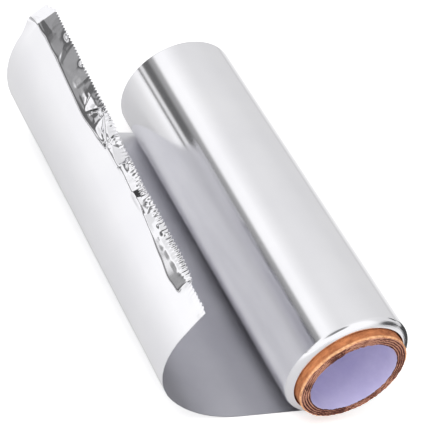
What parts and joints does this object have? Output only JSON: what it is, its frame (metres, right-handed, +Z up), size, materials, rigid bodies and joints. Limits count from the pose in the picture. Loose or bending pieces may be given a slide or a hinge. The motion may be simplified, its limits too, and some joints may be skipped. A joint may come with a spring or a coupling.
{
  "type": "aluminium foil roll",
  "caption": "Wide aluminium foil roll on a cardboard core, lying on its side with a saw-cut free end curling up beside it.",
  "frame": {"origin": "on the core's axis, halfway along the foil's width; the surface it lies on is 49 mm below", "axes": "+Z up, +Y along the roll's axis, the free end lies towards -X"},
  "size_m": [0.2102, 0.313, 0.1267],
  "materials": {
    "foil": "bright rolled foil",
    "cardboard": "spiral-wound kraft board, cut ends rough"
  },
  "bodies": {
    "root": {"foil_web": "foil", "cardboard_core": "cardboard"}
  },
  "joints": []
}
